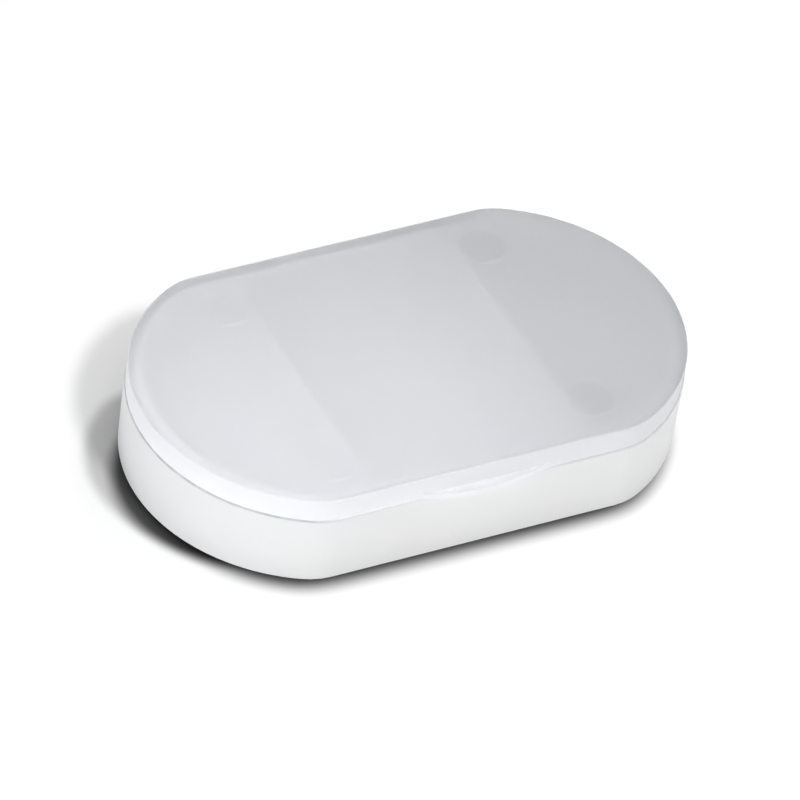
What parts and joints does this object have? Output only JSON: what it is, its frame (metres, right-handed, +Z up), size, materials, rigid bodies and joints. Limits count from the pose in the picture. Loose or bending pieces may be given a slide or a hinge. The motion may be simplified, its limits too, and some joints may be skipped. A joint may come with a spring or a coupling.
{
  "type": "pill case",
  "caption": "Flat pocket pill case with rounded ends: a frosted plastic tray with compartments, closed by a hinged lid with a thumb tab.",
  "frame": {"origin": "middle of the flat underside, on the surface that the case rests on", "axes": "+X along the length, towards the right end; +Y towards the hinge at the back; +Z up, towards the lid"},
  "size_m": [0.091, 0.0579, 0.0166],
  "materials": {
    "tray_plastic": "frosted translucent white, satin",
    "divider_plastic": "frosted translucent white, satin",
    "lid_plastic": "frosted translucent white, satin",
    "pin_steel": "drawn wire, bright"
  },
  "bodies": {
    "tray_body": {"base_tray": "tray_plastic", "divider_left": "divider_plastic", "divider_right": "divider_plastic", "hinge_pin_left": "pin_steel", "hinge_pin_right": "pin_steel"},
    "lid_body": {"lid": "lid_plastic"}
  },
  "joints": [
    {"name": "lid_hinge", "type": "hinge", "parent": "tray_body", "child": "lid_body", "pos_m": [0, 0.02855, 0.01218], "axis": [-1, 0, 0], "range_deg": [0, 180]}
  ]
}
